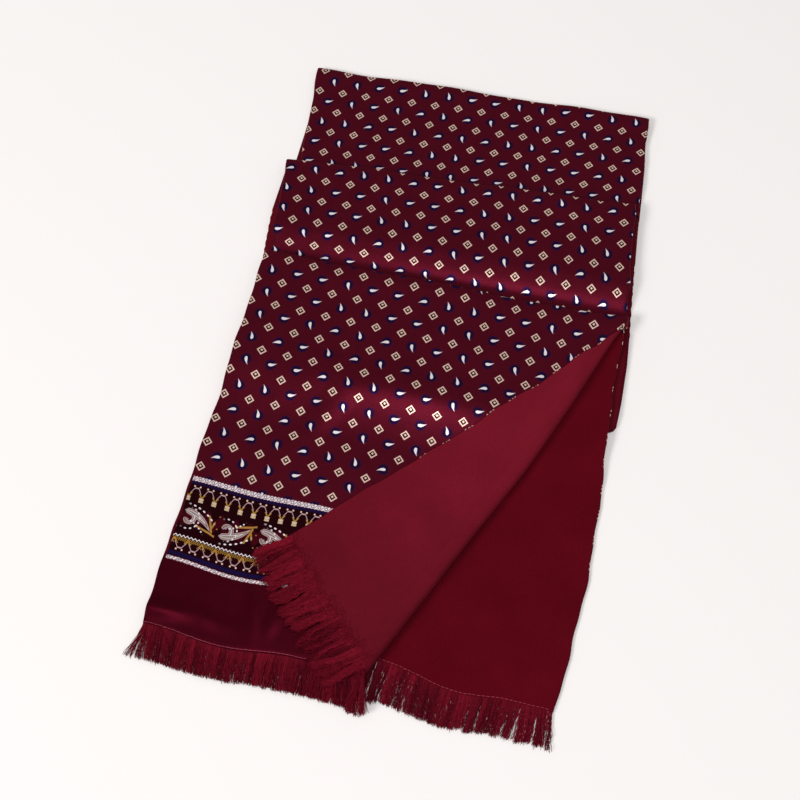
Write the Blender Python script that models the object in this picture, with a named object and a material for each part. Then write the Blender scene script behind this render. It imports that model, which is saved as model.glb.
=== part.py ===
"""A silk scarf with fringed ends, folded into a flat stack.

The scarf is one long strip of two panels, a printed satin face and a plain
brushed back, with a fringe along each short hem. It is folded end to end, so
that it lies double, and then pleated. Three stretches show their printed face,
like steps: the rear leaf, the middle leaf and the front leaf. The front leaf's
right corner is turned over to the left and shows its back. Under the front
leaf lies the scarf's other end, the end leaf, back up. The layers that nothing
shows share one solid, with the edges of its layers at its sides.

Sizes are in millimetres, and points become metres where a mesh is made. X runs
across the scarf, Y from the fringed hems (-) to the rear fold (+), Z up. A
leaf has flat coordinates of its own: u across it from the left edge, v along
it from the crease of its fold, with v below 0 in the fold.
"""

import math

import bpy
import numpy as np

MM = 0.001

# Cloth
WIDTH = 305.0
PANEL = 1.0  # thickness of one panel
SEAM_GAP = 0.3  # between a leaf's two panels, and before a fringe's strip
REST_GAP = 0.45  # between leaves that lie on each other
INNER_SIDE = SEAM_GAP / 2  # a panel's sides, from the middle of its leaf
OUTER_SIDE = INNER_SIDE + PANEL
LEAF = 2 * OUTER_SIDE

# Heights, of the middle of each leaf above the floor
HIDDEN_BED = 1.2  # hidden layers under the rear leaf
REAR_HEIGHT = HIDDEN_BED + REST_GAP + OUTER_SIDE
END_HEIGHT = OUTER_SIDE
FRONT_HEIGHT = END_HEIGHT + LEAF + REST_GAP

# Folds: the radius of the leaf's middle, and how far the cloth runs on beneath
REAR_FOLD = 1.5
MIDDLE_FOLD = 1.5
FRONT_FOLD = 1.6
RUN_UNDER = 7.0
UNDER_HEIGHT = REAR_HEIGHT + LEAF + REST_GAP  # where a fold rests on the leaf below
MIDDLE_TOP = UNDER_HEIGHT + 2 * MIDDLE_FOLD
FRONT_TOP = UNDER_HEIGHT + 2 * FRONT_FOLD

# How far in front of a leaf's crease it starts and ends to step down
REAR_EASE = (0.0, 16.0)
MIDDLE_STEP = (40.0, 84.0)
FRONT_STEP = (96.0, 156.0)

# Each leaf's outline: a row for each section, from its crease to its end
#    v      left x, y          right x, y
REAR_LEAF = (
    (0.0, 0.0, -2.0, 305.4, -9.6),
    (52.0, 2.0, -54.0, 305.2, -58.0),
    (111.0, 3.6, -113.5, 304.6, -113.0),
)
MIDDLE_LEAF = (
    (0.0, -7.5, -107.6, 300.5, -107.0),
    (45.0, -6.2, -152.0, 301.0, -152.0),
    (85.0, -4.6, -191.0, 301.8, -197.0),
    (113.0, -3.6, -211.5, 302.6, -229.0),
)
FRONT_LEAF = (
    (0.0, -7.5, -203.6, 299.8, -221.2),
    (45.0, -11.4, -248.5, 293.0, -268.6),
    (90.0, -15.0, -293.4, 289.3, -314.7),
    (140.0, -18.6, -343.3, 285.7, -364.6),
    (181.0, -23.0, -384.0, 281.3, -405.3),
    (224.0, -26.6, -426.9, 277.7, -448.2),
    (276.0, -28.6, -479.0, 275.7, -500.3),
    (330.0, -29.6, -533.0, 274.7, -554.3),
)
END_LEAF = (
    (0.0, -4.0, -214.2, 301.0, -231.8),
    (60.0, -7.0, -274.0, 297.3, -291.0),
    (115.0, -9.0, -329.0, 295.4, -346.0),
    (195.0, -12.5, -407.0, 291.8, -426.0),
    (270.0, -18.6, -479.0, 285.4, -501.0),
    (320.0, -25.6, -525.0, 278.0, -549.5),
)
FRONT_LENGTH = 330.0
END_LENGTH = 320.0

# The corner turned over: its crease on the flat front leaf, and its roll
CREASE_LEAN = 0.33  # how much u the crease loses for each v, at the fold
CREASE_BEND = 0.0003  # and how that grows along it
MIRROR_LEAN = 0.398  # the lean of the straight line that its free edge is turned over
NARROWEST_CORNER = 2.5  # turned cloth beside the crease at the fold
ROLL_RADIUS = (1.6, 2.6)  # at its start and past its growth
ROLL_GROWTH = 70.0
ROLL_EASE = 6.0  # over which the roll starts beside the fold
CORNER_DESCENT = math.radians(8.0)
CORNER_EASE_RADIUS = 60.0
CORNER_LIFT = LEAF + 0.6

# Soft ridges of the front leaf: ends, reach to each side, and height
#    x, y            to x, y           reach  height
RIDGES = (
    (22.0, -232.0, -2.0, -330.0, 15.0, 1.3),
    (96.0, -300.0, 40.0, -392.0, 17.0, 0.9),
    (150.0, -236.0, 176.0, -290.0, 18.0, 0.8),
    (66.0, -497.0, 58.0, -536.0, 9.0, 1.2),
    (-12.0, -506.0, 24.0, -528.0, 10.0, 1.1),
)

# Hidden layers: the edges that show at each side, and the grooves between them
LAYER_EDGES = 3
LAYER_GROOVE = 0.9

# Fringe: its strip, its strands' widths, and their mean length
STRIP = 1.5
STRIP_HALF = 0.6
STRAND = 1.1
STRAND_TIP = 0.5
FRINGE = 27.5
UNEVEN = (1.7, 1.0)  # two waves in the strands' lengths
SWAY = 2.6
STRAND_STEPS = 2
SPACING = 2.5
HIDDEN_SPACING = 6.4  # under the front leaf's fringe
HIDDEN_FRINGE = 128.0  # how far across it reaches
SIDE_MARGIN = 0.6
BARE_ROLL = 24.0  # the corner's hem without strands, from its crease on
FRONT_SINK = 2.75  # how far the tips sink towards the floor
OTHER_SINK = 0.55

FACE_COLOUR = (0.085, 0.008, 0.018)
BACK_COLOUR = (0.155, 0.006, 0.018)
FRINGE_COLOUR = (0.13, 0.005, 0.016)


def ease(value, start, end):
    """0 before start, 1 past end, and a smooth step between them."""
    t = min(max((value - start) / (end - start), 0.0), 1.0)
    return t * t * (3 - 2 * t)


def row_at(rows, value):
    """The outline at `value` in the first column: a cubic through the rows, straight past them."""
    table = np.array(rows)
    keys, cells = table[:, 0], table[:, 1:]
    slopes = np.gradient(cells, keys, axis=0)
    if value <= keys[0]:
        return cells[0]
    if value >= keys[-1]:
        return cells[-1] + slopes[-1] * (value - keys[-1])
    i = int(np.searchsorted(keys, value, side="right")) - 1
    span = keys[i + 1] - keys[i]
    t = (value - keys[i]) / span
    return (
        (2 * t**3 - 3 * t**2 + 1) * cells[i]
        + (t**3 - 2 * t**2 + t) * span * slopes[i]
        + (3 * t**2 - 2 * t**3) * cells[i + 1]
        + (t**3 - t**2) * span * slopes[i + 1]
    )


def in_plan(rows, u, v):
    """Where a leaf's flat point lies in X and Y."""
    row = row_at(rows, v)
    return row[:2] + (row[2:] - row[:2]) * (u / WIDTH)


def past_crease(rows, x, y):
    """How far a place lies in front of a leaf's crease."""
    left, right = np.array(rows[0][1:3]), np.array(rows[0][3:5])
    along = (right - left) / np.linalg.norm(right - left)
    return along[1] * (x - left[0]) - along[0] * (y - left[1])


def ridge_height(x, y):
    """The sum of the soft ridges at a place, each fading to its ends and sides."""
    total = 0.0
    for x0, y0, x1, y1, reach, height in RIDGES:
        along = np.array((x1 - x0, y1 - y0))
        from_start = np.array((x - x0, y - y0))
        t = float(from_start @ along / (along @ along))
        aside = (along[0] * from_start[1] - along[1] * from_start[0]) / np.linalg.norm(along)
        if 0 < t < 1 and abs(aside) < reach:
            total += height * math.sin(math.pi * t) ** 2 * math.cos(math.pi * aside / (2 * reach)) ** 2
    return total


def front_base(x, y):
    """The height of the middle of a front leaf without ridges."""
    return FRONT_TOP - (FRONT_TOP - FRONT_HEIGHT) * ease(past_crease(FRONT_LEAF, x, y), *FRONT_STEP)


def middle_base(x, y):
    return MIDDLE_TOP - (MIDDLE_TOP - REAR_HEIGHT) * ease(past_crease(MIDDLE_LEAF, x, y), *MIDDLE_STEP)


def rear_base(x, y):
    crest = END_HEIGHT + 2 * REAR_FOLD
    return crest - (crest - REAR_HEIGHT) * ease(past_crease(REAR_LEAF, x, y), *REAR_EASE)


def folded_under(rows, base, radius, u, v):
    """A leaf's point: on its base in front of the crease, or round the fold and on beneath."""
    x, y = in_plan(rows, u, max(v, 0.0))
    height = base(x, y)
    if v >= 0:
        return np.array((x, y, height))
    turn = min(-v / radius, math.pi)
    run = max(-v - math.pi * radius, 0.0)
    _, left_x, left_y, right_x, right_y = rows[0]
    back = np.array((left_y - right_y, right_x - left_x))
    back /= np.linalg.norm(back)
    x, y = np.array((x, y)) + back * (radius * math.sin(turn) - run)
    return np.array((x, y, height - radius * (1 - math.cos(turn))))


def rear_leaf(u, v):
    return folded_under(REAR_LEAF, rear_base, REAR_FOLD, u, v)


def middle_leaf(u, v):
    return folded_under(MIDDLE_LEAF, middle_base, MIDDLE_FOLD, u, v)


def end_leaf(u, v):
    x, y = in_plan(END_LEAF, u, v)
    return np.array((x, y, front_base(x, y) - LEAF - REST_GAP))


def crease_at(v):
    """The u at which the turned corner's crease crosses the row at v."""
    along = max(v, 0.0)
    return WIDTH - max(CREASE_LEAN * along + CREASE_BEND * along**2, NARROWEST_CORNER)


def turned(distance, radius):
    """Where cloth at this distance past the crease goes: how far past it, and how high."""
    full_turn = math.pi + CORNER_DESCENT
    fall = radius * (1 + math.cos(CORNER_DESCENT)) - CORNER_LIFT
    fall -= CORNER_EASE_RADIUS * (1 - math.cos(CORNER_DESCENT))
    slope = max(fall, 0.0) / math.sin(CORNER_DESCENT)
    turn = min(distance / radius, full_turn)
    across, height = radius * math.sin(turn), radius * (1 - math.cos(turn))
    left = distance - full_turn * radius
    if left > 0:
        part = min(left, slope)
        across -= part * math.cos(CORNER_DESCENT)
        height -= part * math.sin(CORNER_DESCENT)
        left -= slope
    if left > 0:
        part = min(left / CORNER_EASE_RADIUS, CORNER_DESCENT)
        across -= CORNER_EASE_RADIUS * (math.sin(CORNER_DESCENT) - math.sin(CORNER_DESCENT - part))
        height -= CORNER_EASE_RADIUS * (
            math.cos(CORNER_DESCENT - part) - math.cos(CORNER_DESCENT)
        )
        left -= CORNER_EASE_RADIUS * CORNER_DESCENT
    return across - max(left, 0.0), height


def roll_radius(v):
    start, end = ROLL_RADIUS
    grown = start + (end - start) * ease(v, 0.0, ROLL_GROWTH)
    return grown / max(ease(v, 0.0, ROLL_EASE), 0.05)


def front_leaf(u, v):
    """The front leaf's point, with the right corner turned over along its crease."""
    if v < 0:
        return folded_under(FRONT_LEAF, front_base, FRONT_FOLD, u, v)
    height = 0.0
    crease = crease_at(v)
    if u > crease:
        over = np.array((1.0, MIRROR_LEAN)) / math.hypot(1.0, MIRROR_LEAN)
        share = ((u - crease) / (WIDTH - crease)) ** 2
        shift = 0.0
        for line, part in ((crease, 1 - share), (WIDTH - MIRROR_LEAN * v, share)):
            distance = max((u - line) * over[0], 0.0)
            across, lift = turned(distance, roll_radius(v))
            shift += (across - distance) * part
            height += lift * part
        u, v = np.array((u, v)) + over * shift
    x, y = in_plan(FRONT_LEAF, u, max(v, 0.0))
    return np.array((x, y, front_base(x, y) + ridge_height(x, y) + height))


def print_side(leaf, u, v):
    """The unit normal on the side that faces up where the leaf lies flat."""
    step = 0.05
    across = leaf(u + step, v) - leaf(u - step, v)
    along = leaf(u, v + step) - leaf(u, v - step)
    normal = np.cross(along, across)
    return normal / np.linalg.norm(normal)


def material(name, colour, roughness, sheen):
    made = bpy.data.materials.new(name)
    made.use_nodes = True
    shader = made.node_tree.nodes["Principled BSDF"]
    shader.inputs["Base Color"].default_value = (*colour, 1.0)
    shader.inputs["Roughness"].default_value = roughness
    shader.inputs["Metallic"].default_value = 0.0
    shader.inputs["Sheen Weight"].default_value = sheen
    return made


def add_object(name, points, faces, finish):
    mesh = bpy.data.meshes.new(name)
    mesh.from_pydata([tuple(float(c) * MM for c in p) for p in points], [], faces)
    mesh.materials.append(finish)
    mesh.shade_smooth()
    mesh.set_sharp_from_angle(angle=math.radians(40))
    made = bpy.data.objects.new(name, mesh)
    bpy.context.scene.collection.objects.link(made)
    return made


def wall(name, leaf, grid, low, high, finish):
    """A wall over a grid of flat points: its two sides lie low and high from the leaf's middle."""
    rows, columns = len(grid), len(grid[0])
    middles = [leaf(u, v) for row in grid for u, v in row]
    normals = [print_side(leaf, u, v) for row in grid for u, v in row]
    count = rows * columns
    points = [m + n * high for m, n in zip(middles, normals)]
    points += [m + n * low for m, n in zip(middles, normals)]
    faces = []
    for i in range(rows - 1):
        for j in range(columns - 1):
            a, b = i * columns + j, i * columns + j + 1
            c, d = b + columns, a + columns
            faces.append((a, d, c, b))
            faces.append((a + count, b + count, c + count, d + count))
    rim = [j for j in range(columns)]
    rim += [i * columns + columns - 1 for i in range(1, rows)]
    rim += [(rows - 1) * columns + j for j in range(columns - 2, -1, -1)]
    rim += [i * columns for i in range(rows - 2, 0, -1)]
    for a, b in zip(rim, rim[1:] + rim[:1]):
        faces.append((a, b, b + count, a + count))
    return add_object(name, points, faces, finish)


def fold_rows(radius, steps=6):
    """The v of each row round a fold, from the end of the cloth beneath to the crease."""
    under = -math.pi * radius - RUN_UNDER
    return [under] + [-math.pi * radius * (steps - k) / steps for k in range(steps)]


def plain_grid(rows, columns):
    across = np.linspace(0.0, WIDTH, columns)
    return [[(u, v) for u in across] for v in rows]


def front_grid():
    """Rows across the front leaf, with columns that follow the turned corner's crease."""
    rows = fold_rows(FRONT_FOLD) + [0.0, 2.0, 4.0, 6.5, 10.0, 15.0, 22.0, 32.0, 45.0, 60.0, 78.0]
    rows += list(np.linspace(94.0, FRONT_LENGTH, 17))
    flat_columns = 8
    turn_steps = 7
    inner_columns = 3
    turn_share = 0.72  # of a narrow corner's columns, taken by the turn and what follows it
    full_turn = (math.pi + CORNER_DESCENT) * ROLL_RADIUS[1]
    past = [full_turn * k / turn_steps for k in range(1, turn_steps + 1)]
    past += [full_turn + distance for distance in (8.0, 18.0, 30.0)]
    grid = []
    for v in rows:
        crease = crease_at(v)
        fit = min(1.0, turn_share * (WIDTH - crease) / past[-1])
        row = [crease * k / flat_columns for k in range(flat_columns + 1)]
        row += [crease + p * fit for p in past]
        last = row[-1]
        row += [last + (WIDTH - last) * (k + 1) / inner_columns for k in range(inner_columns)]
        grid.append([(u, v) for u in row])
    return grid


def make_leaves(face, back):
    """Both panels of each leaf. The end leaf lies with its back up."""
    rear_rows = fold_rows(REAR_FOLD) + [0.0, 4.0, 8.0, 12.0, 16.0, 60.0, 111.0]
    middle_rows = fold_rows(MIDDLE_FOLD) + [0.0, 20.0] + list(np.linspace(*MIDDLE_STEP, 8)) + [113.0]
    end_rows = [0.0, 40.0] + list(np.linspace(78.0, 156.0, 7)) + [195.0, 235.0, 280.0, END_LENGTH]
    stretches = (
        ("rear_leaf", rear_leaf, plain_grid(rear_rows, 6), True),
        ("middle_leaf", middle_leaf, plain_grid(middle_rows, 6), True),
        ("front_leaf", front_leaf, front_grid(), True),
        ("end_leaf", end_leaf, plain_grid(end_rows, 6), False),
    )
    made = []
    for name, leaf, grid, face_up in stretches:
        side = 1 if face_up else -1
        for panel, way, finish in (("face", side, face), ("back", -side, back)):
            low, high = sorted((way * INNER_SIDE, way * OUTER_SIDE))
            made.append(wall(f"{name}_{panel}", leaf, grid, low, high, finish))
    return made


def under_middle(x, y):
    return middle_base(x, y) - OUTER_SIDE - REST_GAP


def under_end(x, y):
    return front_base(x, y) - 2 * LEAF - 2 * REST_GAP + OUTER_SIDE


def under_rear(x, y):
    return HIDDEN_BED


def hidden_sections():
    """The hidden layers from rear to front: each section's ends, its top and the share of it reached."""
    sections = [
        (1.2, -12.6, 304.2, -20.2, under_rear, 0.5),
        (1.0, -13.6, 304.6, -21.2, under_rear, 1.0),
        (1.4, -60.0, 306.2, -62.0, under_rear, 1.0),
        (-2.0, -116.4, 306.4, -116.0, under_rear, 1.0),
        (-7.6, -116.8, 305.8, -116.4, under_middle, 1.0),
    ]
    for v in np.linspace(*MIDDLE_STEP, 8):
        left_x, left_y, right_x, right_y = row_at(MIDDLE_LEAF, v)
        out = 3.2 + 3.0 * ease(v, 0.0, 90.0)
        sections.append((left_x - out, left_y, right_x + 4.6, right_y, under_middle, 1.0))
    sections += [
        (-8.6, -213.2, 307.4, -230.8, under_middle, 1.0),
        (-8.0, -213.6, 307.6, -231.2, under_end, 1.0),
        (-10.0, -250.0, 307.0, -258.0, under_end, 1.0),
        (-13.0, -290.0, 304.4, -292.0, under_end, 1.0),
        (-14.0, -304.0, 303.6, -306.0, under_end, 1.0),
        (-14.4, -314.0, 303.0, -316.0, under_end, 1.0),
        (-13.6, -319.0, 301.4, -321.0, under_end, 0.7),
        (-12.8, -320.4, 300.2, -322.4, under_end, 0.3),
    ]
    return sections


def make_hidden_layers(finish):
    """One solid through its sections, with a groove between the layers at each side."""
    middle_columns = 6
    rings = []
    side = [
        (k / (2 * LAYER_EDGES), LAYER_GROOVE if k % 2 == 0 else 0.0)
        for k in range(2 * LAYER_EDGES + 1)
    ]
    for left_x, left_y, right_x, right_y, top, reached in hidden_sections():
        left, right = np.array((left_x, left_y)), np.array((right_x, right_y))
        across = (right - left) / np.linalg.norm(right - left)
        shares = np.linspace(0.0, 1.0, middle_columns + 2)[1:-1]
        ring = [(left + across * inset, height) for height, inset in side]
        ring += [(left + (right - left) * share, 1.0) for share in shares]
        ring += [(right - across * inset, height) for height, inset in reversed(side)]
        ring += [(left + (right - left) * share, 0.0) for share in reversed(shares)]
        rings.append([(*place, height * reached * top(*place)) for place, height in ring])
    size = len(rings[0])
    points = [point for ring in rings for point in ring]
    faces = [tuple(range(size)), tuple(reversed(range(len(points) - size, len(points))))]
    for i in range(len(rings) - 1):
        for j in range(size):
            k = (j + 1) % size
            faces.append((i * size + j, (i + 1) * size + j, (i + 1) * size + k, i * size + k))
    return add_object("hidden_layers", points, faces, finish)


def make_fringe(name, leaf, hem, stations, sink, finish):
    """A strip along a hem with a strand drawn out of every second cell of its outer side."""
    start = hem + SEAM_GAP
    outer = start + STRIP
    points, faces = [], []

    def add(u, v, aside, drop=0.0):
        point = leaf(u, v) + print_side(leaf, u, min(v, outer)) * aside
        points.append(point + np.array((0.0, 0.0, drop)))
        return len(points) - 1

    rings = []
    for u in stations:
        corners = ((start, STRIP_HALF), (outer, STRIP_HALF), (outer, -STRIP_HALF), (start, -STRIP_HALF))
        rings.append([add(u, v, aside) for v, aside in corners])
    for i in range(len(rings) - 1):
        one, two = rings[i], rings[i + 1]
        for j in (0, 2, 3):
            k = (j + 1) % 4
            faces.append((one[j], one[k], two[k], two[j]))
        root = (one[1], one[2], two[2], two[1])
        if i % 2 == 0:
            faces.append(root)
            continue
        middle = (stations[i] + stations[i + 1]) / 2
        length = FRINGE + UNEVEN[0] * math.sin(1.7 * i) + UNEVEN[1] * math.sin(4.1 * i)
        lean = SWAY * (math.sin(middle / 8.5) + 0.6 * math.sin(middle / 23.0 + 1.0))
        last = root
        for step in range(1, STRAND_STEPS + 1):
            share = step / STRAND_STEPS
            half = (STRAND + (STRAND_TIP - STRAND) * share) / 2
            sway = lean * share**1.6
            v = outer + length * share
            ring = [
                add(middle + sway + across * half, v, aside * half, -sink * share**1.5)
                for across, aside in ((-1, 1), (-1, -1), (1, -1), (1, 1))
            ]
            for j in range(4):
                k = (j + 1) % 4
                faces.append((last[j], last[k], ring[k], ring[j]))
            last = ring
        faces.append(tuple(last))
    faces.append(tuple(reversed(rings[0])))
    faces.append(tuple(rings[-1]))
    return add_object(name, points, faces, finish)


def strand_stations(start, end, spacing):
    """The edges of a strip's cells: a bare cell, then a strand's, and so on to a bare one."""
    count = int((end - start - spacing + STRAND) / spacing)
    edges = [start]
    for i in range(count):
        root = start + (i + 1) * spacing - STRAND
        edges += [root, root + STRAND]
    return edges + [end]


def make_fringes(finish):
    crease = crease_at(FRONT_LENGTH)
    end = WIDTH - SIDE_MARGIN
    hidden = strand_stations(SIDE_MARGIN, HIDDEN_FRINGE, HIDDEN_SPACING)[:-1]
    return [
        make_fringe(
            "front_fringe",
            front_leaf,
            FRONT_LENGTH,
            strand_stations(SIDE_MARGIN, crease - SIDE_MARGIN, SPACING),
            FRONT_SINK,
            finish,
        ),
        make_fringe(
            "corner_fringe",
            front_leaf,
            FRONT_LENGTH,
            strand_stations(crease + BARE_ROLL, end, SPACING),
            OTHER_SINK,
            finish,
        ),
        make_fringe(
            "end_fringe",
            end_leaf,
            END_LENGTH,
            hidden + strand_stations(HIDDEN_FRINGE, end, SPACING)[1:],
            OTHER_SINK,
            finish,
        ),
    ]


def stand_on_origin(made):
    """Carries every solid by one empty, so that the middle of the scarf's underside is the origin."""
    corners = np.array([v.co for piece in made for v in piece.data.vertices])
    low, high = corners.min(axis=0), corners.max(axis=0)
    carrier = bpy.data.objects.new("scarf", None)
    carrier.location = (-(low[0] + high[0]) / 2, -(low[1] + high[1]) / 2, -low[2])
    bpy.context.scene.collection.objects.link(carrier)
    for piece in made:
        piece.parent = carrier


def main():
    for old in list(bpy.data.objects):
        bpy.data.objects.remove(old)
    face = material("printed_satin", FACE_COLOUR, 0.35, 0.2)
    back = material("brushed_back", BACK_COLOUR, 0.85, 0.4)
    inside = material("inner_layers", BACK_COLOUR, 0.85, 0.3)
    thread = material("fringe_thread", FRINGE_COLOUR, 0.7, 0.3)
    made = make_leaves(face, back)
    made.append(make_hidden_layers(inside))
    made += make_fringes(thread)
    stand_on_origin(made)


main()
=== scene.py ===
"""The looks of a folded silk scarf: printed satin face, plain brushed back, fringed ends.

Sizes are in millimetres in the scarf's own frame, as in the part's source: X runs across the scarf
from its rear left corner, Y from the fringed hems (-) to the rear fold (+), Z up. A leaf is one
stretch of the scarf between two folds. Its flat coordinates are u across it from the left edge and v
along it from its crease. Points become metres of the part's frame where a mesh is made.
"""

import math
import bpy
import numpy as np
from mathutils import Matrix, Vector


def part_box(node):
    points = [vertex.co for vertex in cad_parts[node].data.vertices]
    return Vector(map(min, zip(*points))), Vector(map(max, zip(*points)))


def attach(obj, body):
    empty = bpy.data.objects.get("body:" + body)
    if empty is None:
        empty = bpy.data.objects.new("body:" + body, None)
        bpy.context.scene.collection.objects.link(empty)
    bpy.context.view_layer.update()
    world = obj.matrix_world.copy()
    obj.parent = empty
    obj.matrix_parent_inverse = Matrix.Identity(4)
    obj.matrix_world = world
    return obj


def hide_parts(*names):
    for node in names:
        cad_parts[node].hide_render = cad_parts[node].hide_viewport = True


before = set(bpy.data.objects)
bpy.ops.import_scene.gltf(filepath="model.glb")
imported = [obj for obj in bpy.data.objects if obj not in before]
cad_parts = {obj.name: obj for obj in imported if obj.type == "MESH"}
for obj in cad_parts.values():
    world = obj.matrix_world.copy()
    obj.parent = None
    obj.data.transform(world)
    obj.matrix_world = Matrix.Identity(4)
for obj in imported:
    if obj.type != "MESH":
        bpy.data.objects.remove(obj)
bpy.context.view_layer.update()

MM = 0.001
HIDDEN_CORNER = (-14.4, -322.4)  # the hidden layers' lowest X and Y in the scarf's frame
PLACE = np.array(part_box("hidden_layers")[0]) / MM - np.array((*HIDDEN_CORNER, 0.0))

# Cloth, as in the part's source
WIDTH = 305.0
PANEL = 1.0
SEAM_GAP = 0.3
REST_GAP = 0.45
OUTER_SIDE = SEAM_GAP / 2 + PANEL
LEAF = 2 * OUTER_SIDE
HIDDEN_BED = 1.2
REAR_HEIGHT = HIDDEN_BED + REST_GAP + OUTER_SIDE
END_HEIGHT = OUTER_SIDE
FRONT_HEIGHT = END_HEIGHT + LEAF + REST_GAP
REAR_FOLD = 1.5
MIDDLE_FOLD = 1.5
FRONT_FOLD = 1.6
RUN_UNDER = 7.0
UNDER_HEIGHT = REAR_HEIGHT + LEAF + REST_GAP
MIDDLE_TOP = UNDER_HEIGHT + 2 * MIDDLE_FOLD
FRONT_TOP = UNDER_HEIGHT + 2 * FRONT_FOLD
REAR_EASE = (0.0, 16.0)
MIDDLE_STEP = (60.0, 94.0)  # lower on the leaf than the solid's, as in the photo
MIDDLE_STEP_LEAN = 14.0
FRONT_STEP = (96.0, 156.0)

# Each leaf's outline: a row for each section, from its crease to its end
#    v      left x, y          right x, y
REAR_LEAF = (
    (0, 0, -2, 305.4, -9.6),
    (52, 2, -54, 305.2, -58),
    (111, 3.6, -113.5, 304.6, -113),
)
MIDDLE_LEAF = (
    (0, -7.5, -107.6, 300.5, -107),
    (45, -6.2, -152, 301, -152),
    (85, -4.6, -191, 301.8, -197),
    (113, -3.6, -211.5, 302.6, -229),
)
FRONT_LEAF = (
    (0, -7.5, -203.6, 299.8, -221.2),
    (45, -11.4, -248.5, 293, -268.6),
    (90, -15, -293.4, 289.3, -314.7),
    (140, -18.6, -343.3, 285.7, -364.6),
    (181, -23, -384, 281.3, -405.3),
    (224, -26.6, -426.9, 277.7, -448.2),
    (276, -28.6, -479, 275.7, -500.3),
    (330, -29.6, -533, 274.7, -554.3),
)
END_LEAF = (
    (0, -4, -214.2, 301, -231.8),
    (60, -7, -274, 297.3, -291),
    (115, -9, -329, 295.4, -346),
    (195, -12.5, -407, 291.8, -426),
    (270, -18.6, -479, 285.4, -501),
    (320, -25.6, -525, 278, -549.5),
)
REAR_LENGTH = 111.0
MIDDLE_LENGTH = 113.0
FRONT_LENGTH = 330.0
END_LENGTH = 320.0

# The corner turned over
CREASE_LEAN = 0.33
CREASE_BEND = 0.0003
MIRROR_LEAN = 0.398
NARROWEST_CORNER = 2.5
CORNER_TIP = 3.2  # the corner is wider at its tip than the solid's, as in the photo
CORNER_TIP_REACH = 14.0
ROLL_RADIUS = (1.6, 2.6)
ROLL_GROWTH = 70.0
ROLL_EASE = 6.0
CORNER_DESCENT = math.radians(8.0)
CORNER_EASE_RADIUS = 60.0
CORNER_LIFT = LEAF + 0.6

# Soft ridges that the front leaf's solids have too: ends, reach to each side, and height
#    x, y            to x, y           reach  height
RIDGES = (
    (22, -232, -2, -330, 15, 1.3),
    (96, -300, 40, -392, 17, 0.9),
    (150, -236, 176, -290, 18, 0.8),
    (66, -497, 58, -536, 9, 0.7),
    (-12, -506, 24, -528, 10, 0.5),
)

# Ridges and troughs that the solids don't have, in the same columns
LOOSE_RIDGES = (
    (-44, -513, 52, -531, 9, 0.5),
    (40, -476, 53, -546, 7, 0.6),
    (30, -488, 38, -540, 9, -0.3),
    (86, -470, 92, -545, 12, 0.5),
    (8, -222, 30, -300, 12, 0.5),
    (214, -226, 232, -286, 14, 0.5),
    (60, -8, 84, -104, 26, 0.5),
    (196, -14, 206, -108, 30, 0.5),
    (120, -112, 128, -186, 26, 0.4),
    (236, -300, 262, -430, 22, 0.8),
    (236, -400, 204, -548, 24, 0.7),
)
# Bulges along a leaf
#    past the crease: at the left, more at the right, width, height, middle across, reach across
MIDDLE_BULGES = (
    (81, 14.5, 9, 0.8, 190, 330),
    (4, 0, 6, 0.5, 180, 260),
    (92.4, 17.6, 2.8, 1, 215, 330),  # pushed up by the front leaf's fold
)
FRONT_BULGES = (
    (101, 0, 16, 2.1, 124, 120),
    (3.5, 0, 6, 0.5, 150, 230),
    (317, 0, 6, 2.7, -34, 42),
    (12, 0, 9, 0.7, 60, 90),
    (14, 0, 9, 0.6, 226, 60),
)
REAR_BULGES = (
    (96, 0, 14, 0.7, 90, 160),
    (101.6, -8.2, 2.8, 0.9, 170, 300),  # pushed up by the middle leaf's fold
)
# Where the cloth is drawn along a leaf towards its hem: middle and reach across, and how far
FRONT_DRAWN = ((58.0, 54.0, 5.0),)
END_DRAWN = ((168.0, 52.0, -7.0), (234.0, 36.0, 3.5))
DRAWN_FROM = 0.4  # of the leaf's length
# Where a side edge moves across: the edge, how far, from where to where along it, and its reach inwards
FRONT_FLARES = ((0.0, -4.5, 235.0, 300.0, 60.0),)
END_FLARES = ((WIDTH, 2.0, 90.0, 140.0, 60.0), (WIDTH, -2.0, 210.0, 270.0, 60.0))
# The front leaf's crease puffs out at the turned corner's tip: its place, reach and move
PUFF_PLACE = (300.0, -222.0)
PUFF_REACH = 15.0
PUFF_MOVE = (3.5, 1.0, 0.8)
# The soft swelling along the turned corner's roll: past its crease, width, height, and rows it grows over
ROLL_SWELLING = (14.0, 6.5, 3.0)
SWELLING_ROWS = (8.0, 70.0)
# Unevenness of edges and creases: heights, reaches, and the waves' lengths over 2 pi, long and short, with
# the short one's share
EDGE_WAVE = 0.5
EDGE_REACH = 22.0
LEFT_EDGE_WAVES = (12.7, 5.3, 0.6)
RIGHT_EDGE_WAVES = (10.9, 4.7, 0.6)
CREASE_REACH = 17.0
CREASE_LIFT = 0.42
CREASE_LEVEL = 1.5  # of the lift's waves
CREASE_LIFT_WAVES = (29.0, 11.0, 0.5)
CREASE_WAVE = 0.7
CREASE_WAVES = (21.0, 9.0, 0.5)
CREASE_DROP = 0.8  # of the crease itself, where the fold is round
CREASE_ROUND = 3.6

# The scarf's print: where each leaf's repeats lie on it. Repeats across and along are
# i = i0 + iu u + iv v and j = j0 + ju u + jv v
#                 i0       iu       iv       j0       ju        jv
REAR_PRINT = (-6.375, 0.04712, 0.00517, -1.044, 0.00094, 0.04532)
MIDDLE_PRINT = (-5.732, 0.04638, 0.00045, -2.848, -0.00011, 0.04696)
FRONT_PRINT = (-5.021, 0.04621, -0.00100, -2.234, -0.00069, 0.04637)
REPEAT = 21.6  # mm

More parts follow.
